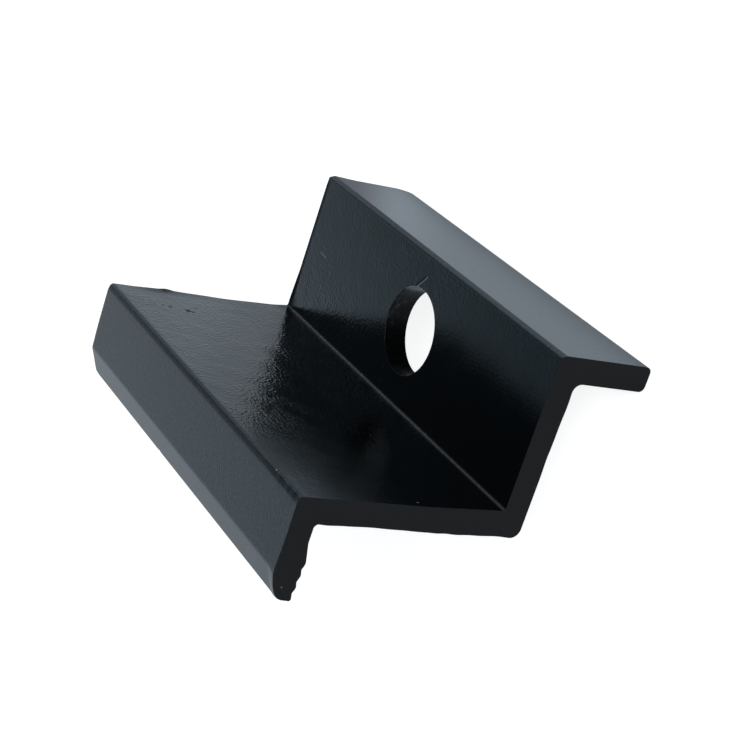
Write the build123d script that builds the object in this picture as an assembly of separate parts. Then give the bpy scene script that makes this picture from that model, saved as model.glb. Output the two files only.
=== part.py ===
"""Solar end clamp: one cut length of black aluminium extrusion with a bolt hole through its web.

The clamp is drawn as it is fitted. The bolt axis is +Z, the origin lies on it in the web's top face,
-X points at the solar module and Y runs along the extrusion.
"""
import os

from build123d import *

# Driving sizes of the section, in millimetres
wall = 2.5  # thickness of the upright, web and foot
lip_wall = 2.4  # thickness of the lip
length = 48.0  # cut length along Y
grip_height = 29.6  # foot's end up to the lip's underside, for a module frame 30 high
foot_drop = 10.4  # foot's end up to the web's top face, where the bolt head bears
lip_reach = 7.85  # how far the lip reaches over the module, from the upright's module side
bolt_to_upright = 7.7  # bolt axis to the upright's face beside the bolt head
bolt_to_foot = 8.1  # bolt axis to the foot's outer face

# Bolt hole, drilled through the web for an M8 bolt
bolt_hole_d = 9.0

# Lip: sloping nose above, gripping teeth below
nose_run = 2.95  # the slope's length back from the tip
nose_drop = 1.34  # how far the slope falls by the tip
tooth_count = 4  # the last one is the tip's lower edge
tooth_pitch = 1.2
tooth_height = 0.24
tooth_inset = 0.15  # last tooth's crest back from the tip
first_tooth_depth = 0.42  # first tooth's crest below the lip's underside
tooth_taper = 0.09  # each crest lies this much higher than the one before it
ramp_run = 2.0  # the underside slopes down to the first tooth over this length

# Radii of the section's corners
heel_radius = 1.0
foot_inside_radius = 0.9
foot_inner_edge_radius = 0.6
foot_outer_edge_radius = 0.6
foot_bend_radius = 0.6
valley_radius = 1.0
top_edge_radius = 0.6
slope_radius = 1.0
nose_radius = 0.8
tip_radius = 0.28
first_tooth_radius = 0.8
tooth_radius = 0.5
tooth_root_radius = 0.3
lip_root_radius = 0.45

# Saw cut ends are deburred
end_break = 0.08

# Places worked out from the sizes
upright_inner = -bolt_to_upright
upright_outer = upright_inner - wall
foot_inner = bolt_to_foot - wall
lip_underside = grip_height - foot_drop
lip_top = lip_underside + lip_wall
tip = upright_outer - lip_reach


def lip_teeth():
    """Corners (x, z, radius) of the lip's underside, from the tip's lower edge back to the upright."""
    corners = []
    for tooth in reversed(range(tooth_count)):
        crest_x = tip + tooth_inset + tooth_pitch * (tooth_count - 1 - tooth)
        crest_z = lip_underside - first_tooth_depth + tooth_taper * tooth
        if tooth == tooth_count - 1:
            corners.append((tip, crest_z, tip_radius))
        else:
            root_x = crest_x - tooth_pitch / 2
            corners.append((root_x, crest_z + tooth_height, tooth_root_radius))
            crest_radius = tooth_radius if tooth else first_tooth_radius
            corners.append((crest_x, crest_z, crest_radius))
    ramp_x = corners[-1][0] + ramp_run
    corners.append((ramp_x, lip_underside, first_tooth_radius))
    corners.append((upright_outer, lip_underside, lip_root_radius))
    return corners


def section():
    """The extrusion's section: foot, web, upright and lip."""
    corners = [
        (upright_outer, -wall, heel_radius),
        (foot_inner, -wall, foot_inside_radius),
        (foot_inner, -foot_drop, foot_inner_edge_radius),
        (bolt_to_foot, -foot_drop, foot_outer_edge_radius),
        (bolt_to_foot, 0, foot_bend_radius),
        (upright_inner, 0, valley_radius),
        (upright_inner, lip_top, top_edge_radius),
        (tip + nose_run, lip_top, slope_radius),
        (tip, lip_top - nose_drop, nose_radius),
    ]
    corners += lip_teeth()
    points = [(x, z) for x, z, radius in corners]
    radii = [radius for x, z, radius in corners]
    return Plane.XZ * make_face(FilletPolyline(*points, radius=radii, close=True))


def clamp_bracket():
    """The section run to length, its cut ends deburred and its web drilled."""
    body = extrude(section(), amount=length / 2, both=True)
    ends = body.faces().filter_by(Axis.Y)
    body = chamfer([edge for end in ends for edge in end.edges()], end_break)
    drill = Pos(0, 0, -wall / 2) * Cylinder(bolt_hole_d / 2, 2 * wall)
    return body - drill


os.makedirs("parts", exist_ok=True)
export_step(clamp_bracket(), "parts/clamp_bracket.step")
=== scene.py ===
"""Looks of a solar end clamp: a length of black coated aluminium extrusion with a bolt hole through its web.

The clamp stands as it is fitted, in metres. The bolt axis is +Z, the origin lies on it in the web's top face,
-X points at the module and Y runs along the extrusion. The camera looks at it as it lies in the photograph.
"""

import math

import bpy
import numpy as np
from mathutils import Matrix, Vector, noise


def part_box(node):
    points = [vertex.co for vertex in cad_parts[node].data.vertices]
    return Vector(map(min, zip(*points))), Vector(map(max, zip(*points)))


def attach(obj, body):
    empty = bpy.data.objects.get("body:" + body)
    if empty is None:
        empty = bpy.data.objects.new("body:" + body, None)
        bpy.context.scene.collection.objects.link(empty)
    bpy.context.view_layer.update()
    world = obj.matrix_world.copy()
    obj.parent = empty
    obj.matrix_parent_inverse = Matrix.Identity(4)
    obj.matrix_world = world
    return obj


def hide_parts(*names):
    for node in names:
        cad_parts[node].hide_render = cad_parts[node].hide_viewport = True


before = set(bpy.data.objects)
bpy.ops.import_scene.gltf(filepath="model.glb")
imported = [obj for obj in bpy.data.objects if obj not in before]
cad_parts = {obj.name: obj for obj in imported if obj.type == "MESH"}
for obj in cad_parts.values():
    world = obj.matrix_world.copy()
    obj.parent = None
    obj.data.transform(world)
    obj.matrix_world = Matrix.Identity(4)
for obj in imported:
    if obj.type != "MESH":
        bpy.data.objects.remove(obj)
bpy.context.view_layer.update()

MM = 0.001

# Sizes of the part in millimetres; its box comes from the frame
box_low, box_high = [[side / MM for side in corner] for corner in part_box("clamp_bracket")]
TIP_X, FOOT_X = box_low[0], box_high[0]
FOOT_Z, LIP_Z = box_low[2], box_high[2]
HALF_LENGTH = box_high[1]
BORE_RADIUS = 4.5
WALL = 2.5
LIP_WALL = 2.4
UPRIGHT_X = -7.7  # the upright's face beside the bolt
MODULE_X = UPRIGHT_X - WALL
GRIP_Z = LIP_Z - LIP_WALL
HEEL_RADIUS = 1.0

# Lip's nose and teeth, in millimetres
NOSE_RUN = 2.95
NOSE_DROP = 1.34
TOOTH_COUNT = 4
TOOTH_PITCH = 1.2
TOOTH_HEIGHT = 0.24
TOOTH_INSET = 0.35
TOOTH_TAPER = 0.09
FIRST_TOOTH_DEPTH = 0.42
RAMP_RUN = 2.0
TIP_RADIUS = 0.28
TOOTH_ROOT_RADIUS = 0.3
TOOTH_RADIUS = 0.5
FIRST_TOOTH_RADIUS = 0.8
LIP_ROOT_RADIUS = 0.45

# Mesh spacing, in millimetres and degrees
ARC_STEP = 7.5
FLAT_STEP = 0.5
FINE_STEP = 0.1
END_STEP = 0.2
BORE_STEP = 0.35
BORE_DEPTH_STEP = 0.3
END_ANGLES = (22.5, 45, 67.5, 90)
RIM_ANGLES = (30, 60, 90)
FINE_Y = [(-23.2, -18.6), (4.5, 5.6), (13.3, 20.1)]  # windows of the fine step, where the marks are
FINE_Z = [(7.0, 7.9), (12.9, 17.9)]
FIELD_X, FIELD_Y = (-5.4, 4.65), (-5.4, 5.4)  # the field round the bore, which has rings instead of a grid
FIELD_SHARES = (0, 0.06, 0.15, 0.28, 0.45, 0.65, 0.82)  # the rings' places from the rim to the field's edge
SAME_PLACE = 1e-4

# Rounded edges, in millimetres
END_ROUND = 0.05
NEAR_NOSE_ROUND = 0.2
FAR_NOSE_ROUND = 0.25
FAR_TOP_ROUND = 0.08
FULL_END = HALF_LENGTH - END_ROUND - 0.8  # the rounding of the cut ends stays beyond this y
RIM_ROUND = 0.04
UNDER_RIM_ROUND = 0.03

# Bore: coat on its wall, burr at its exit and a knock in its upper rim, in millimetres and degrees from +X
BORE_COAT = 0.03
EXIT_BURR = 0.05
KNOCK_ANGLE = 86.0
KNOCK_WIDTH = 5.0
KNOCK_DEPTH = 0.5
KNOCK_SIZE = 0.1

# Pits in the upright's face: (y, z, radius, depth) in millimetres
PITS = [
    (18.5, 14.67, 0.5, 0.1),
    (18.2, 14.2, 0.3, 0.07),
    (18.97, 16.58, 0.36, 0.07),
    (19.46, 13.34, 0.3, 0.045),
    (19.29, 17.26, 0.25, 0.03),
    (13.69, 17.43, 0.22, 0.03),
    (17.51, 7.42, 0.25, 0.035),
    (15.61, 7.49, 0.22, 0.03),
]

# Burrs and scuffs along an edge: (place along it, half width, size) in millimetres
SAW_BURR = [
    (17.8, 1.4, 0.06),
    (13.6, 2.2, -0.05),
    (8.0, 2.6, 0.05),
    (6.4, 1.2, 0.05),
    (4.4, 1.5, 0.07),
    (0.0, 2.0, -0.08),
]  # up the near end of the module side
WEB_BURR = [(3.4, 2.2, 0.07), (-2.0, 2.0, -0.055)]  # across the near end of the web's underside
UPRIGHT_SWELLING = [(15.8, 3.6, 0.1), (12.0, 5.0, 0.05)]  # up the far end of the upright
UPRIGHT_BURR = [(15.1, 1.1, 0.1)]
SCUFFS = [
    (-19.2, 0.8, 0.015),
    (-20.7, 1.2, 0.03),
    (-22.2, 0.7, 0.02),
    (-23.3, 0.9, 0.03),
]  # along the upright's top edge, as depths

COAT, CUT, BORE = 0, 1, 2  # materials by place: coated faces, cut ends, wall of the bore


def lip_teeth():
    """Corners (x, z, radius) of the lip's underside, from the tip back to the upright."""
    corners = []
    for tooth in reversed(range(TOOTH_COUNT)):
        crest_x = TIP_X + TOOTH_INSET + TOOTH_PITCH * (TOOTH_COUNT - 1 - tooth)
        crest_z = GRIP_Z - FIRST_TOOTH_DEPTH + TOOTH_TAPER * tooth
        if tooth == TOOTH_COUNT - 1:
            corners.append((TIP_X, crest_z, TIP_RADIUS))
        else:
            corners.append((crest_x - TOOTH_PITCH / 2, crest_z + TOOTH_HEIGHT, TOOTH_ROOT_RADIUS))
            corners.append((crest_x, crest_z, TOOTH_RADIUS if tooth else FIRST_TOOTH_RADIUS))
    corners.append((crest_x + RAMP_RUN, GRIP_Z, FIRST_TOOTH_RADIUS))
    corners.append((MODULE_X, GRIP_Z, LIP_ROOT_RADIUS))
    return corners


def section_corners():
    """All corners (x, z, radius) of the section, foot and web first, then the upright and the lip."""
    heel = [(MODULE_X, -WALL, HEEL_RADIUS)]
    foot = [(FOOT_X - WALL, -WALL, 0.9), (FOOT_X - WALL, FOOT_Z, 0.6), (FOOT_X, FOOT_Z, 0.6)]
    bend = [(FOOT_X, -0.62, 0.35), (FOOT_X - 0.25, 0, 0.25)]
    valley = [(UPRIGHT_X + 0.54, 0, 0.8), (UPRIGHT_X + 0.22, 0.025, 0.22)]
    upright_bow = [(UPRIGHT_X, 8.0, 30.0)]
    top_edge = [(UPRIGHT_X, LIP_Z - 0.16, 0.36), (UPRIGHT_X - 0.62, LIP_Z, 1.2)]
    nose = [(TIP_X + NOSE_RUN, LIP_Z, 1.0), (TIP_X, LIP_Z - NOSE_DROP, 0.8)]
    return heel + foot + bend + valley + upright_bow + top_edge + nose + lip_teeth()


def spaced(start, end, step, stops=(), fine=()):
    """Numbers from start to end, about a step apart, at every stop, and finer inside the fine windows."""
    lowest, highest = min(start, end), max(start, end)
    edges = {round(v, 6) for v in [lowest, highest] + [v for v in stops if lowest < v < highest]}
    for window in fine:
        edges |= {v for v in window if lowest < v < highest}
    edges = sorted(edges)
    numbers = [lowest]
    for a, b in zip(edges, edges[1:]):
        middle = (a + b) / 2
        inside = any(window[0] < middle < window[1] for window in fine)
        count = max(1, math.ceil((b - a) / (FINE_STEP if inside else step) - 1e-6))
        numbers += [a + (b - a) * k / count for k in range(1, count + 1)]
    return numbers if start < end else numbers[::-1]


def flat_points(start, end):
    """Points between two arcs, each with the normal of the flat."""
    run = end - start
    normal = np.array([run[1], -run[0]]) / np.linalg.norm(run)
    level = abs(run[1]) < 1e-6
    steep = abs(run[1]) > 10 * abs(run[0])
    if level and abs(start[1]) < 2 * WALL:
        xs = spaced(start[0], end[0], FLAT_STEP, stops=spaced(*FIELD_X, BORE_STEP))
        points = [np.array([x, start[1]]) for x in xs]
    elif steep:
        beside_bolt = abs(start[0] - UPRIGHT_X) < 0.3
        zs = spaced(start[1], end[1], FLAT_STEP, fine=FINE_Z if beside_bolt else ())
        points = [start + run * (z - start[1]) / run[1] for z in zs]
    else:
        count = max(1, math.ceil(np.linalg.norm(run) / FLAT_STEP))
        points = [start + run * k / count for k in range(count + 1)]
    return [(p, normal) for p in points]


def arc_points(corner, before, after, radius):
    """Points and normals of the arc that rounds a corner."""
    u = (before - corner) / np.linalg.norm(before - corner)
    v = (after - corner) / np.linalg.norm(after - corner)
    half = math.acos(np.clip(u @ v, -1, 1)) / 2
    centre = corner + (u + v) / np.linalg.norm(u + v) * radius / math.sin(half)
    start = corner + u * radius / math.tan(half) - centre
    end = corner + v * radius / math.tan(half) - centre
    turn = math.atan2(start[0] * end[1] - start[1] * end[0], start @ end)
    count = max(2, math.ceil(abs(math.degrees(turn)) / ARC_STEP))
    side = 1 if turn > 0 else -1
    points = []
    for k in range(count + 1):
        angle = math.atan2(start[1], start[0]) + turn * k / count
        spoke = np.array([math.cos(angle), math.sin(angle)])
        points.append((centre + radius * spoke, side * spoke))
    return points


def section_points():
    """Closed line of the section, counter-clockwise seen from -Y: places and outward normals."""
    corners = section_corners()
    arcs = []
    for k, (x, z, radius) in enumerate(corners):
        before = np.array(corners[k - 1][:2])
        after = np.array(corners[(k + 1) % len(corners)][:2])
        arcs.append(arc_points(np.array([x, z]), before, after, radius))
    line = []
    for k, arc in enumerate(arcs):
        line += arc
        line += flat_points(arc[-1][0], arcs[(k + 1) % len(arcs)][0][0])[1:-1]
    return np.array([p for p, n in line]), np.array([n for p, n in line])


def falloff(distance, radius):
    """1 at a mark's middle, falling smoothly to 0 at its radius."""
    t = np.clip(1 - distance / radius, 0, 1)
    return t * t * (3 - 2 * t)


def along_edge(place, marks):
    """Height at each place along an edge of marks (place along it, half width, size)."""
    return sum(size * falloff(np.abs(place - middle), half_width) for middle, half_width, size in marks)


def dent_upright(co):
    """Pits in the coat of the upright's face, and the burr along its far edge."""
    swelling_reach, burr_reach = 1.2, 0.6
    bottom, top, slack = 1.5, LIP_Z - 0.9, 0.3
    x, y, z = co.T
    face = (np.abs(x - UPRIGHT_X) < slack) & (z > bottom) & (z < top)
    for pit_y, pit_z, radius, depth in PITS:
        x[face] -= depth * falloff(np.hypot(y - pit_y, z - pit_z), radius)[face]
    to_end = HALF_LENGTH - y
    lift = along_edge(z, UPRIGHT_SWELLING) * falloff(to_end, swelling_reach)
    lift += along_edge(z, UPRIGHT_BURR) * falloff(to_end, burr_reach)
    x[face] += lift[face]


def fill_valley_end(co):
    """Coat gathered in the far end of the valley."""
    height, width, reach = 0.11, 2.2, 1.5
    x, y, z = co.T
    lift = height * falloff(np.hypot(x - UPRIGHT_X, z), width) * falloff(HALF_LENGTH - y, reach)
    x += lift
    z += lift


def burr_web_far(co):
    """Saw burr along the web's far edge, highest beside the valley."""
    height, peak_height, peak_offset, peak_width, reach = 0.035, 0.1, 1.9, 3.2, 0.45
    x, y, z = co.T
    start, end = UPRIGHT_X + 0.1, FOOT_X - 0.3
    web = (np.abs(z) < 0.3) & (x > start) & (x < end)
    fade = np.clip(end - x, 0, 1) * np.clip(x - start, 0, 1)
    peak = falloff(np.abs(x - UPRIGHT_X - peak_offset), peak_width) * np.sqrt(fade)
    lift = (height * fade + peak_height * peak) * falloff(HALF_LENGTH - y, reach)
    z[web] += lift[web]


def scuff_edge(co):
    """Shallow knocks in the upright's top edge, close to the near end."""
    edge_inset, width = 0.18, 0.8
    x, y, z = co.T
    apart = np.hypot(x - UPRIGHT_X + edge_inset, z - LIP_Z + edge_inset)
    push = along_edge(y, SCUFFS) * falloff(apart, width)
    x -= push
    z -= push


def wear_foot_end(co):
    """Far end of the foot: the cut falls back a little and its outer corner is rounded off."""
    depth, corner_radius, fade = 0.44, 2.5, 0.9
    height, reach = 3.4, 2.2
    x, y, z = co.T
    inner = FOOT_X - WALL - fade
    foot = x > inner
    back = depth * (1 - falloff(-z, height)) * falloff(HALF_LENGTH - y, reach)
    back *= 1 - falloff(np.maximum(x - inner, 0), fade)
    y[foot] -= back[foot]
    middle = np.array([HALF_LENGTH - depth - corner_radius, FOOT_Z + corner_radius])
    spoke = co[:, 1:] - middle
    length = np.linalg.norm(spoke, axis=1)
    worn = foot & (spoke[:, 0] > 0) & (spoke[:, 1] < 0) & (length > corner_radius)
    co[worn, 1:] = middle + spoke[worn] * (corner_radius / length[worn])[:, None]


def burr_near_edges(co):
    """Wavy saw burr along the near end's edges of the module side and of the web's underside."""
    reach, slack = 1.6, 0.15
    x, y, z = co.T
    fade = falloff(y + HALF_LENGTH, reach)
    side = np.abs(x - MODULE_X) < slack
    x[side] -= (along_edge(z, SAW_BURR) * fade)[side]
    under = (np.abs(z + WALL) < slack) & (x > MODULE_X + HEEL_RADIUS) & (x < FOOT_X - WALL)
    z[under] -= (along_edge(x, WEB_BURR) * fade)[under]


def wear_nose_ends(co):
    """Both ends of the lip's tip are knocked back, and the near end of its slope is pushed up."""
    lift_size, lift_offset, lift_width, lift_reach = 0.28, 1.2, 2.4, 1.8
    near_size, near_reach = 0.22, 1.2
    far_size, far_reach = 0.1, 1.0
    knock_drop, knock_width = 1.9, 1.7
    slope_slack, top_gap = 0.4, 0.02
    x, y, z = co.T
    near, far = y + HALF_LENGTH, HALF_LENGTH - y
    knock = falloff(np.hypot(x - TIP_X, z - LIP_Z + knock_drop), knock_width)
    slope = z > LIP_Z - NOSE_DROP - slope_slack
    lift = lift_size * falloff(near, lift_reach) * falloff(np.abs(x - TIP_X - lift_offset), lift_width)
    z[slope] = np.minimum(z + lift, np.maximum(z, LIP_Z - top_gap))[slope]
    x += near_size * falloff(near, near_reach) * knock
    x += far_size * falloff(far, far_reach) * knock


def nick_nose(co):
    """Small knock in the tip of the lip."""
    middle, radius, depth = np.array([TIP_X, 5.06, 20.3]), 0.55, 0.14
    co[:, 0] += depth * falloff(np.linalg.norm(co - middle, axis=1), radius)


class Mesh:
    """Vertices and faces being gathered for one mesh."""

    def __init__(self):
        self.places = []
        self.faces = []
        self.zones = []

    def add(self, places):
        """Adds vertices and returns their numbers."""
        first = len(self.places)
        self.places += [tuple(p) for p in places]
        return list(range(first, len(self.places)))

    def face(self, corners, zone):
        """Adds a face with its place among the materials."""
        self.faces.append(tuple(corners))
        self.zones.append(zone)

    def bands(self, rings, zone):
        """Quads between neighbouring closed rings of equal length."""
        for a, b in zip(rings, rings[1:]):
            for k in range(len(a)):
                m = (k + 1) % len(a)
                self.face((a[k], a[m], b[m], b[k]), zone)

    def kept(self):
        """Places and faces, without the places that no face uses."""
        numbers = sorted({number for corners in self.faces for number in corners})
        fresh = {number: k for k, number in enumerate(numbers)}
        places = np.array([self.places[number] for number in numbers])
        return places, [tuple(fresh[number] for number in corners) for corners in self.faces]


def end_rows():
    """(y, bend) of each row along the extrusion; a row of a rounded end has its angle there as bend."""
    inner = spaced(-FULL_END, FULL_END, FLAT_STEP, stops=spaced(*FIELD_Y, BORE_STEP), fine=FINE_Y)
    outer = spaced(FULL_END, HALF_LENGTH - END_ROUND, END_STEP)[1:]
    ys = [-y for y in reversed(outer)] + inner + outer
    rows = [(y, 0.0) for y in ys]
    for angle in END_ANGLES:
        bend = math.radians(angle)
        rows = [(-HALF_LENGTH, bend)] + rows + [(HALF_LENGTH, bend)]
    return rows


def end_round(x, z, normal, side):
    """Radius on the edge of a cut end, larger round the lip's nose and on the upright's far top corner."""
    nose_inset, nose_drop, nose_width, top_width = 1.6, 0.3, 5.0, 1.0
    upward = min(max(normal[1] * 1.5 + 0.3, 0), 1)
    nose = falloff(math.hypot(x - TIP_X - nose_inset, z - LIP_Z + nose_drop), nose_width) * upward
    if side < 0:
        return END_ROUND + NEAR_NOSE_ROUND * nose
    top = falloff(math.hypot(x - UPRIGHT_X, z - LIP_Z), top_width)
    return END_ROUND + (FAR_NOSE_ROUND * nose + FAR_TOP_ROUND * top)


def row_place(x, z, normal, y, bend):
    """Place of a section point in a row."""
    wave_size, wave_scale, wave_start = 0.25, 0.9, 40
    side = math.copysign(1, y)
    radius = end_round(x, z, normal, side)
    if bend > 0:
        wave = noise.noise(Vector((x * wave_scale, wave_start * side, z * wave_scale)))
        inset = radius * (1 - math.cos(bend)) * (1 + wave_size * wave)
        y = side * (HALF_LENGTH - radius + radius * math.sin(bend))
        return x - normal[0] * inset, y, z - normal[1] * inset
    if abs(y) > FULL_END:
        share = (abs(y) - FULL_END) / (HALF_LENGTH - END_ROUND - FULL_END)
        y = side * (FULL_END + share * (HALF_LENGTH - radius - FULL_END))
    return x, y, z


def on_web(z):
    """Whether a height is that of the web's top or underside."""
    return min(abs(z), abs(z + WALL)) < SAME_PLACE


def in_field(x, y):
    """Whether a place lies inside the field round the bore."""
    inside_x = FIELD_X[0] + SAME_PLACE < x < FIELD_X[1] - SAME_PLACE
    return inside_x and FIELD_Y[0] + SAME_PLACE < y < FIELD_Y[1] - SAME_PLACE


def field_outline(xs, ys):
    """Grid places along the edge of the field round the bore, counter-clockwise seen from above."""
    xs = sorted(x for x in xs if FIELD_X[0] - SAME_PLACE < x < FIELD_X[1] + SAME_PLACE)
    ys = sorted(y for y in ys if FIELD_Y[0] - SAME_PLACE < y < FIELD_Y[1] + SAME_PLACE)
    south = [(x, ys[0]) for x in xs]
    east = [(xs[-1], y) for y in ys]
    north = [(x, ys[-1]) for x in reversed(xs)]
    west = [(xs[0], y) for y in reversed(ys)]
    return south[:-1] + east[:-1] + north[:-1] + west[:-1]


def field_edges(section, rows, columns):
    """Outline of the field round the bore, and its vertices' numbers in the web's top and underside."""
    flat_rows = [(y, column) for (y, bend), column in zip(rows, columns) if bend == 0]
    numbers = {}
    for y, column in flat_rows:
        for number, (x, z) in zip(column, section):
            if on_web(z):
                numbers[round(x, 3), round(y, 3), round(z, 3)] = number
    top_xs = [x for x, z in section if abs(z) < SAME_PLACE]
    outline = field_outline(top_xs, [y for y, column in flat_rows])
    top, under = [[numbers[round(x, 3), round(y, 3), z] for x, y in outline] for z in (0.0, -WALL)]
    return outline, top, under


def bore_radius(angle, depth):
    """Radius of the bore's wall, with a small knock in its upper rim."""
    radius = BORE_RADIUS - BORE_COAT - EXIT_BURR * (depth / WALL) ** 2
    off = abs(math.degrees(angle) - KNOCK_ANGLE)
    if off > KNOCK_WIDTH or depth > KNOCK_DEPTH:
        return radius
    return radius + KNOCK_SIZE * (1 - off / KNOCK_WIDTH) * (1 - depth / KNOCK_DEPTH)


def field_ring(outline, z, offset, share):
    """Ring a share of the way from the bore's wall, moved out by the offset, to the field's edge."""
    places = []
    for x, y in outline:
        angle = math.atan2(y, x)
        radius = bore_radius(angle, -z) + offset
        inner = np.array([radius * math.cos(angle), radius * math.sin(angle)])
        place = inner + (np.array([x, y]) - inner) * share
        places.append((place[0], place[1], z))
    return places


def rim_steps(radius):
    """(depth below the face, offset from the wall) of each step down a rounded rim."""
    bends = [math.radians(angle) for angle in RIM_ANGLES]
    return [(radius * (1 - math.cos(bend)), radius * (1 - math.sin(bend))) for bend in bends]


def bore_rings(mesh, outline, edge_top, edge_under):
    """The web's faces round the bore, its rounded rims and its wall."""

    def ring(z, offset, share=0):
        """Adds one ring and returns the numbers of its vertices."""
        return mesh.add(field_ring(outline, z, offset, share))

    top = [ring(0, RIM_ROUND, share) for share in FIELD_SHARES]
    under = [ring(-WALL, UNDER_RIM_ROUND, share) for share in FIELD_SHARES]
    depths = np.arange(-BORE_DEPTH_STEP, -WALL + BORE_DEPTH_STEP / 2, -BORE_DEPTH_STEP)
    wall = [ring(-depth, offset) for depth, offset in rim_steps(RIM_ROUND)]
    wall += [ring(float(z), 0) for z in depths]
    wall += [ring(-WALL + depth, offset) for depth, offset in reversed(rim_steps(UNDER_RIM_ROUND))]
    mesh.bands([edge_top] + top[::-1], COAT)
    mesh.bands([top[0]] + wall + [under[0]], BORE)
    mesh.bands(under + [edge_under], COAT)


def skin(mesh, section, outward, rows, columns):
    """Quads between neighbouring rows, left out in the field round the bore, and the two cut ends."""
    count = len(section)
    middle = (section + np.roll(section, -1, axis=0)) / 2
    level = [abs(normal[1]) > 0.999 and on_web(z) for normal, (x, z) in zip(outward, middle)]
    for j in range(len(rows) - 1):
        (y, bend), (next_y, next_bend) = rows[j], rows[j + 1]
        zone = CUT if max(bend, next_bend) > 0 else COAT
        for i in range(count):
            if level[i] and in_field(middle[i][0], (y + next_y) / 2):
                continue
            m = (i + 1) % count
            mesh.face((columns[j][i], columns[j + 1][i], columns[j + 1][m], columns[j][m]), zone)
    mesh.face(columns[0], CUT)
    mesh.face(columns[-1][::-1], CUT)


def clamp_mesh():
    """The whole clamp as one closed mesh."""
    section, outward = section_points()
    rows = end_rows()
    mesh = Mesh()
    columns = []
    for y, bend in rows:
        places = [row_place(x, z, normal, y, bend) for (x, z), normal in zip(section, outward)]
        columns.append(mesh.add(places))
    skin(mesh, section, outward, rows, columns)
    bore_rings(mesh, *field_edges(section, rows, columns))
    return mesh


def vertex_normals(places, faces):
    """Normals weighted by face area, so that flats stay flat up to their rounded edges."""
    normals = np.zeros_like(places)
    for corners in faces:
        p = places[list(corners)]
        area = np.zeros(3)
        for k in range(1, len(p) - 1):
            area += np.cross(p[k] - p[0], p[k + 1] - p[0])
        normals[list(corners)] += area
    return normals / np.linalg.norm(normals, axis=1)[:, None]


def build_clamp():
    """The clamp's object, which stands for the plain CAD node."""
    gathered = clamp_mesh()
    places, faces = gathered.kept()
    dent_upright(places)
    fill_valley_end(places)
    scuff_edge(places)
    wear_foot_end(places)
    burr_web_far(places)
    burr_near_edges(places)
    wear_nose_ends(places)
    nick_nose(places)
    data = bpy.data.meshes.new("clamp_body")
    data.from_pydata((places * MM).tolist(), [], faces)
    data.polygons.foreach_set("material_index", gathered.zones)
    data.polygons.foreach_set("use_smooth", [True] * len(faces))
    data.update()
    data.normals_split_custom_set_from_vertices(vertex_normals(places, faces))
    piece = bpy.data.objects.new("clamp_body", data)
    bpy.context.scene.collection.objects.link(piece)
    return piece


# Marks in the coat, in millimetres
CHIPS = [
    (-16.5, -23.95, 20.43, 0.12),
    (-7.75, -18.82, 21.4, 0.14),
    (-7.7, -23.25, 9.1, 0.13),
    (-15.61, 5.36, 21.2, 0.1),
]  # (x, y, z, radius)
SCRATCHES = [((0.13, 20.94, 0.0), (0.06, 19.62, 0.0), 0.11)]  # (start, end, half width), worn to the metal
GROOVES = [((5.75, 0.1, 0.0), (4.5, 1.2, 0.0), 0.19)]  # the same, pressed into the coat
SPOT_CORE, STROKE_CORE = 0.5, 0.3  # share of a mark's width over which it is full
VALLEY_HIGHLIGHT_AXIS = (UPRIGHT_X + 0.27, 0.0, 0.08)  # the painted highlight in the valley runs round this line along Y

# Colours of the coat, the cut ends and the bore
# painted shade: the coat inside the step is much darker than outside it
INSIDE_SHADE_BLACK = (0.0002, 0.0002, 0.0002, 1)
OUTSIDE_BLACK = (0.0012, 0.0013, 0.0015, 1)
SPECK_GREY = (0.022, 0.023, 0.025, 1)
# painted highlight: colour of the thin brownish line along the valley
VALLEY_HIGHLIGHT_BROWN = (0.024, 0.0165, 0.009, 1)
CHIP_GREY = (0.14, 0.145, 0.15, 1)
COAT_TINT = (0.38, 0.76, 1.0, 1)
CUT_BLACK = (0.0038, 0.0044, 0.0052, 1)
CUT_GREY = (0.0096, 0.0108, 0.0124, 1)
CUT_CHIP_GREY = (0.11, 0.115, 0.12, 1)
BORE_BLACK = (0.0007, 0.0008, 0.001, 1)
# pale specks in the bore; kept mostly to its upper side, they also paint that side lighter
BORE_SPECK_AND_LIGHT_GREY = (0.03, 0.031, 0.033, 1)
# painted reflection: pale patch at the top end of the bore's wall
BORE_REFLECTION_GREY = (0.32, 0.35, 0.38, 1)


def put(tree, kind, inputs=(), **settings):
    """Adds a node, sets it up and links or fills its inputs."""
    made = tree.nodes.new(kind)
    for name, value in settings.items():
        setattr(made, name, value)
    for socket, value in dict(inputs).items():
        if isinstance(value, bpy.types.NodeSocket):
            tree.links.new(value, made.inputs[socket])
        else:
            made.inputs[socket].default_value = value
    return made


def math_node(tree, operation, *values):
    """Number that an operation makes from numbers."""
    return put(tree, "ShaderNodeMath", enumerate(values), operation=operation).outputs[0]


def chain(tree, operation, first, *others):
    """Runs an operation of two numbers along any count of them, from left to right."""
    for other in others:
        first = math_node(tree, operation, first, other)
    return first


def vector_node(tree, operation, *values):
    """Vector that an operation makes from vectors."""
    return put(tree, "ShaderNodeVectorMath", enumerate(values), operation=operation).outputs[0]


def measure(tree, operation, *values):
    """Number that an operation makes from vectors, such as their distance."""
    return put(tree, "ShaderNodeVectorMath", enumerate(values), operation=operation).outputs["Value"]


def scaled(tree, vector, factor):
    """The vector times a number."""
    return put(tree, "ShaderNodeVectorMath", {0: vector, "Scale": factor}, operation="SCALE").outputs[0]


def parts(tree, vector):
    """x, y and z of a vector."""
    return put(tree, "ShaderNodeSeparateXYZ", {0: vector}).outputs


def noise_node(tree, place, scale, detail=2.0, roughness=0.5):
    """Noise with features about 1 / scale millimetres across."""
    sockets = {"Vector": place, "Scale": scale, "Detail": detail, "Roughness": roughness}
    return put(tree, "ShaderNodeTexNoise", sockets).outputs[0]


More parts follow.
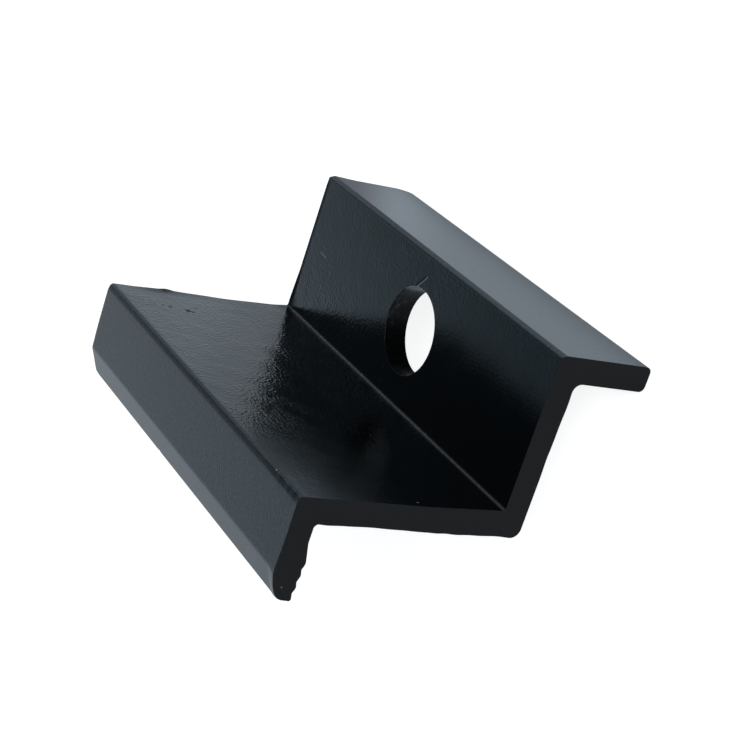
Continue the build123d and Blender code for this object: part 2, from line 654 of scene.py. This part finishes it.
def ramp(tree, value, start, end, low=0.0, high=1.0):
    """Maps value from start to end onto low to high, clamped and smooth."""
    sockets = {0: value, 1: start, 2: end, 3: low, 4: high}
    return put(tree, "ShaderNodeMapRange", sockets, interpolation_type="SMOOTHSTEP").outputs[0]


def mix(tree, share, first, second):
    """Colour that goes from the first to the second as the share goes from 0 to 1."""
    return put(tree, "ShaderNodeMix", {0: share, 6: first, 7: second}, data_type="RGBA").outputs[2]


def layered(tree, layers):
    """Sum of layers (value, size)."""
    total = 0.0
    for value, size in layers:
        total = math_node(tree, "MULTIPLY_ADD", value, size, total)
    return total


def millimetres(tree):
    """The place on the part in millimetres."""
    return scaled(tree, put(tree, "ShaderNodeTexCoord").outputs["Object"], 1000.0)


def empty_material(name):
    """A new material and its emptied node tree."""
    material = bpy.data.materials.new(name)
    material.use_nodes = True
    material.node_tree.nodes.clear()
    return material, material.node_tree


def shade(tree, colour, roughness, height, settings):
    """Links a shader to the output. The height is in metres, and the settings are the same all over."""
    bump = put(tree, "ShaderNodeBump", {"Strength": 1.0, "Distance": 1.0, "Height": height})
    sockets = {"Base Color": colour, "Roughness": roughness, "Normal": bump.outputs[0], **settings}
    shader = put(tree, "ShaderNodeBsdfPrincipled", sockets)
    put(tree, "ShaderNodeOutputMaterial", {0: shader.outputs[0]})


def spots(tree, place, marks):
    """Mask that is 1 on each mark (x, y, z, radius)."""
    masks = []
    for x, y, z, radius in marks:
        masks.append(ramp(tree, measure(tree, "DISTANCE", place, (x, y, z)), radius, radius * SPOT_CORE))
    return chain(tree, "MAXIMUM", *masks)


def strokes(tree, place, marks):
    """Mask that is 1 along the middle of each stroke (start, end, half width)."""
    masks = []
    for start, end, half_width in marks:
        run = Vector(end) - Vector(start)
        from_start = vector_node(tree, "SUBTRACT", place, start)
        share = measure(tree, "DOT_PRODUCT", from_start, run / run.length_squared)
        share = put(tree, "ShaderNodeClamp", {0: share}).outputs[0]
        apart = measure(tree, "DISTANCE", from_start, scaled(tree, tuple(run), share))
        masks.append(ramp(tree, apart, half_width, half_width * STROKE_CORE))
    return chain(tree, "MAXIMUM", *masks)


def valley_highlight_line(tree, place):
    """Mask of a painted highlight: a thin brownish line along the valley, stronger in some places than in
    others.
    """
    flat = vector_node(tree, "MULTIPLY", place, (1.0, 0.0, 1.0))
    line = ramp(tree, measure(tree, "DISTANCE", flat, VALLEY_HIGHLIGHT_AXIS), 0.25, 0.1)
    highlight_strength = ramp(tree, noise_node(tree, place, 1.9, 3.0, 0.65), 0.38, 0.66, 0.25, 1.0)
    return math_node(tree, "MULTIPLY", line, highlight_strength)


def step_masks(tree, place):
    """Masks of the step's inner faces, the grainier parts of upright and web, and the dull near part."""
    x, y, z = parts(tree, place)
    sides = [
        ramp(tree, x, FOOT_X - 0.2, FOOT_X - 0.7),
        ramp(tree, x, UPRIGHT_X - 0.3, UPRIGHT_X - 0.05),
        ramp(tree, z, -0.4, -0.15),
        ramp(tree, z, LIP_Z - 0.2, LIP_Z - 0.8),
    ]
    inside = chain(tree, "MINIMUM", *sides)
    upright = math_node(tree, "MINIMUM", inside, ramp(tree, x, UPRIGHT_X + 0.6, UPRIGHT_X + 0.2))
    web = math_node(tree, "SUBTRACT", inside, upright)
    grainy = math_node(tree, "MULTIPLY", upright, ramp(tree, y, -15.0, -6.0))
    grainy_web = chain(tree, "MULTIPLY", web, ramp(tree, x, -1.0, -3.5), ramp(tree, y, 4.0, 10.0))
    smooth = math_node(tree, "SUBTRACT", upright, grainy)
    dull = math_node(tree, "MULTIPLY", smooth, ramp(tree, z, 6.0, 12.0))
    return inside, grainy, grainy_web, dull


def coat_colour(tree, place, inside, scratched):
    """Near black, darker inside the step as painted shade, with pale specks outside the step, a painted
    highlight along the valley, and chips and scratches.
    """
    outside = math_node(tree, "SUBTRACT", 1.0, inside)
    specks = ramp(tree, noise_node(tree, place, 6.5, 2.0), 0.5, 0.7)
    # painted shade: darker inside the step than outside it
    tone = mix(tree, outside, INSIDE_SHADE_BLACK, OUTSIDE_BLACK)
    tone = mix(tree, math_node(tree, "MULTIPLY", specks, outside), tone, SPECK_GREY)
    # painted highlight: a thin brownish line along the valley
    tone = mix(tree, valley_highlight_line(tree, place), tone, VALLEY_HIGHLIGHT_BROWN)
    faint_scratches = math_node(tree, "MULTIPLY", scratched, 0.4)
    bare = math_node(tree, "MAXIMUM", spots(tree, place, CHIPS), faint_scratches)
    return mix(tree, bare, tone, CHIP_GREY)


def coat_roughness(tree, cloud, inside, dull):
    """Satin outside the step, glossier and a little cloudy inside it."""
    satin, gloss, cloudy, dulling = 0.33, 0.165, 0.012, 0.06
    spread = ramp(tree, inside, 0.0, 1.0, satin, gloss)
    clouds = ramp(tree, cloud, 0.3, 0.7, -cloudy, cloudy)
    spread = math_node(tree, "MULTIPLY_ADD", clouds, inside, spread)
    return math_node(tree, "MULTIPLY_ADD", dull, dulling, spread)


def peel_size(tree, cloud, inside, grainy, grainy_web):
    """Height of the coat's orange peel in metres, patchy inside the step."""
    size = ramp(tree, inside, 0.0, 1.0, 0.012 * MM, 0.0104 * MM)
    size = math_node(tree, "MULTIPLY_ADD", grainy, 0.038 * MM, size)
    size = math_node(tree, "MULTIPLY_ADD", grainy_web, 0.01 * MM, size)
    patches = ramp(tree, cloud, 0.35, 0.65, -0.35, 0.3)
    return math_node(tree, "MULTIPLY", size, math_node(tree, "MULTIPLY_ADD", patches, inside, 1.0))


def coat_material():
    """Satin black coat with an orange-peel grain, glossier inside the step, with chips and scratches."""
    material, tree = empty_material("black_coat")
    place = millimetres(tree)
    inside, grainy, grainy_web, dull = step_masks(tree, place)
    cloud = noise_node(tree, place, 0.35, 3.0)
    scratched = strokes(tree, place, SCRATCHES)
    pitted = ramp(tree, noise_node(tree, place, 1.7, 2.0), 0.69, 0.75)
    layers = [
        (noise_node(tree, place, 3.1, 1.5), peel_size(tree, cloud, inside, grainy, grainy_web)),
        (noise_node(tree, place, 7.0, 1.0), 0.0025 * MM),  # fine grain
        (noise_node(tree, place, 0.16, 1.0), 0.003 * MM),  # slow waves
        (pitted, ramp(tree, inside, 0.0, 1.0, -0.022 * MM, -0.006 * MM)),
        (scratched, -0.012 * MM),
        (strokes(tree, place, GROOVES), -0.028 * MM),
    ]
    colour = coat_colour(tree, place, inside, scratched)
    roughness = coat_roughness(tree, cloud, inside, dull)
    shade(tree, colour, roughness, layered(tree, layers), {"IOR": 1.45, "Specular Tint": COAT_TINT})
    return material


def cut_material():
    """Matte coat on the cut ends, over the saw's marks."""
    material, tree = empty_material("black_cut_end")
    place = millimetres(tree)
    saw = noise_node(tree, vector_node(tree, "MULTIPLY", place, (0.5, 1.0, 5.0)), 1.2, 2.0)
    grain = noise_node(tree, place, 6.0, 2.0)
    colour = mix(tree, spots(tree, place, CHIPS), mix(tree, grain, CUT_BLACK, CUT_GREY), CUT_CHIP_GREY)
    roughness = ramp(tree, grain, 0.3, 0.7, 0.62, 0.72)
    height = layered(tree, [(saw, 0.004 * MM), (grain, 0.004 * MM)])
    shade(tree, colour, roughness, height, {"IOR": 1.5, "Specular IOR Level": 0.15})
    return material


def bore_material():
    """Thin dead black coat inside the drilled hole, with pale specks that also paint the wall's upper side
    lighter, and a pale patch at its top end that is a painted reflection.
    """
    material, tree = empty_material("black_bore")
    place = millimetres(tree)
    x, y, z = parts(tree, place)
    grain = noise_node(tree, place, 4.0, 2.0)
    speck_and_side_light = ramp(tree, noise_node(tree, place, 1.5, 4.0, 0.65), 0.5, 0.7)
    # painted light: the specks are mostly on the wall's upper side (+X), which makes that side lighter
    speck_and_side_light = math_node(tree, "MULTIPLY", speck_and_side_light, ramp(tree, x, -2.0, 2.5, 0.05, 1.0))
    # painted reflection: pale patch on the wall's top end
    painted_reflection = ramp(tree, x, 3.1, 3.9)
    colour = mix(tree, painted_reflection, mix(tree, speck_and_side_light, BORE_BLACK, BORE_SPECK_AND_LIGHT_GREY), BORE_REFLECTION_GREY)
    roughness = ramp(tree, grain, 0.3, 0.7, 0.24, 0.34)
    height = layered(tree, [(grain, 0.01 * MM)])
    shade(tree, colour, roughness, height, {"IOR": 1.5, "Specular IOR Level": 0.18})
    return material


# Studio: the floor's radius is in metres, other lengths are in millimetres
FLOOR_RADIUS = 3.0
FLOOR_CORNERS = 64
FLOOR_GREY = (0.45, 0.45, 0.45, 1)
FLOOR_GLOW = 0.8
MIRRORED_GLOW = 0.78
FAR_GLOW = 0.232
FAR_FLOOR = (28.4, 40.4)  # in reflections the floor dims between these distances from the bolt axis
WHITE = (1, 1, 1, 1)
COOL_WHITE = (0.87, 1.0, 1.12, 1)
ROOM_WHITE = (0.94, 1.0, 1.06, 1)
ROOM_LEVEL = 1.06
DARK_LEVEL = 0.17
DARK_PATCH = (0.1, 0.63, 0.77)  # direction of the dark part of the room that the faces reflect
LAMP_PLACE = (250.0, -480.0, 420.0)
LAMP_SIZE = 320.0
LAMP_POWER = 3.0
CAMERA_PLACE = (52.141, -148.745, 101.795)
CAMERA_FORWARD = (-0.3047, 0.7914, -0.53)
CAMERA_UP = (0.9028, 0.4173, 0.104)
CAMERA_LENS = 90.3
SENSOR_WIDTH = 36.0


def mirrored_floor(tree):
    """Brightness of the floor in reflections, painted: it dims far off, has brighter and dimmer bands, and
    carries painted shadows under the clamp and behind it.
    """
    place = millimetres(tree)
    x, y, z = parts(tree, place)
    # painted shadows, seen only in reflections: dark under the clamp and dimmer behind it
    under = [ramp(tree, x, 7.5, 5.5), ramp(tree, y, 33.0, 27.0), ramp(tree, x, -4.0, 0.0)]
    behind = [ramp(tree, x, 12.0, 6.0), ramp(tree, y, 49.0, 37.0)]
    factors = [
        ramp(tree, measure(tree, "LENGTH", place), *FAR_FLOOR, MIRRORED_GLOW, FAR_GLOW),
        ramp(tree, y, 10.0, 27.0, 1.0, 1.3),
        ramp(tree, x, 18.0, 32.0, 1.0, 0.5),
        ramp(tree, y, 50.0, 64.0, 1.0, 1.45),
        ramp(tree, chain(tree, "MINIMUM", *under), 0.0, 1.0, 1.0, 0.07),
        ramp(tree, chain(tree, "MINIMUM", *behind), 0.0, 1.0, 1.0, 0.4),
    ]
    return chain(tree, "MULTIPLY", *factors)


def floor_material():
    """Pale floor that shows white to the camera and dimmer in reflections, and keeps the shadow."""
    material = bpy.data.materials.new("floor")
    material.use_nodes = True
    tree = material.node_tree
    shader = tree.nodes["Principled BSDF"]
    shader.inputs["Base Color"].default_value = FLOOR_GREY
    shader.inputs["Roughness"].default_value = 1.0
    shader.inputs["Specular IOR Level"].default_value = 0.0
    path = put(tree, "ShaderNodeLightPath").outputs
    mirrored = math_node(tree, "MULTIPLY", path["Is Glossy Ray"], mirrored_floor(tree))
    shown = math_node(tree, "MAXIMUM", path["Is Camera Ray"], path["Is Transmission Ray"])
    glow = math_node(tree, "MULTIPLY_ADD", shown, FLOOR_GLOW, mirrored)
    tree.links.new(mix(tree, shown, COOL_WHITE, WHITE), shader.inputs["Emission Color"])
    tree.links.new(glow, shader.inputs["Emission Strength"])
    return material


def build_floor():
    """Round floor at the height of the foot's end."""
    rim = [2 * math.pi * k / FLOOR_CORNERS for k in range(FLOOR_CORNERS)]
    places = [(FLOOR_RADIUS * math.cos(a), FLOOR_RADIUS * math.sin(a), FOOT_Z * MM) for a in rim]
    data = bpy.data.meshes.new("floor")
    data.from_pydata(places, [], [tuple(range(FLOOR_CORNERS))])
    data.materials.append(floor_material())
    floor = bpy.data.objects.new("floor", data)
    bpy.context.scene.collection.objects.link(floor)


def room_level(tree, direction):
    """Brightness of the room: dark in one patch and overhead, dimmer at the sides, lighter low down."""
    x, y, z = parts(tree, direction)
    toward_patch = measure(tree, "DOT_PRODUCT", direction, DARK_PATCH)
    level = math_node(
        tree,
        "MINIMUM",
        ramp(tree, toward_patch, 0.815, 0.945, ROOM_LEVEL, DARK_LEVEL),
        ramp(tree, z, 0.56, 0.68, ROOM_LEVEL, DARK_LEVEL),
    )
    level = math_node(tree, "SUBTRACT", level, ramp(tree, x, -0.5, -0.75, 0.0, 0.33))
    horizon = math_node(tree, "MINIMUM", ramp(tree, x, -0.3, -0.5), ramp(tree, z, 0.3, 0.1))
    level = math_node(tree, "MULTIPLY_ADD", horizon, 0.1, level)
    return math_node(tree, "SUBTRACT", level, ramp(tree, x, 0.35, 0.6, 0.0, 0.25))


def build_world():
    """Soft dome, brightest round the clamp as it lies in the photograph and dimmer overhead."""
    world = bpy.data.worlds.new("studio")
    bpy.context.scene.world = world
    world.use_nodes = True
    tree = world.node_tree
    tree.nodes.clear()
    direction = put(tree, "ShaderNodeTexCoord").outputs["Generated"]
    sockets = {"Color": ROOM_WHITE, "Strength": room_level(tree, direction)}
    background = put(tree, "ShaderNodeBackground", sockets)
    put(tree, "ShaderNodeOutputWorld", {0: background.outputs[0]})


def build_lamp():
    """Large soft lamp over the camera's shoulder."""
    data = bpy.data.lights.new("softbox", "AREA")
    data.shape = "SQUARE"
    data.size = LAMP_SIZE * MM
    data.energy = LAMP_POWER
    lamp = bpy.data.objects.new("softbox", data)
    lamp.location = Vector(LAMP_PLACE) * MM
    lamp.rotation_euler = Vector(LAMP_PLACE).to_track_quat("Z", "Y").to_euler()
    bpy.context.scene.collection.objects.link(lamp)


def build_camera():
    """Camera at the photograph's place, rolled as the clamp lies there."""
    data = bpy.data.cameras.new("camera")
    data.sensor_width = SENSOR_WIDTH
    data.lens = CAMERA_LENS
    data.clip_start = 10 * MM
    camera = bpy.data.objects.new("camera", data)
    bpy.context.scene.collection.objects.link(camera)
    back = -Vector(CAMERA_FORWARD).normalized()
    right = Vector(CAMERA_UP).cross(back).normalized()
    up = back.cross(right)
    turn = Matrix((right, up, back)).transposed().to_4x4()
    camera.matrix_world = Matrix.Translation(Vector(CAMERA_PLACE) * MM) @ turn
    bpy.context.scene.camera = camera


clamp = build_clamp()
clamp.data.materials.append(coat_material())
clamp.data.materials.append(cut_material())
clamp.data.materials.append(bore_material())
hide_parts("clamp_bracket")
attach(clamp, "root")

build_floor()
build_world()
build_lamp()
build_camera()
bpy.context.scene.view_settings.view_transform = "Standard"
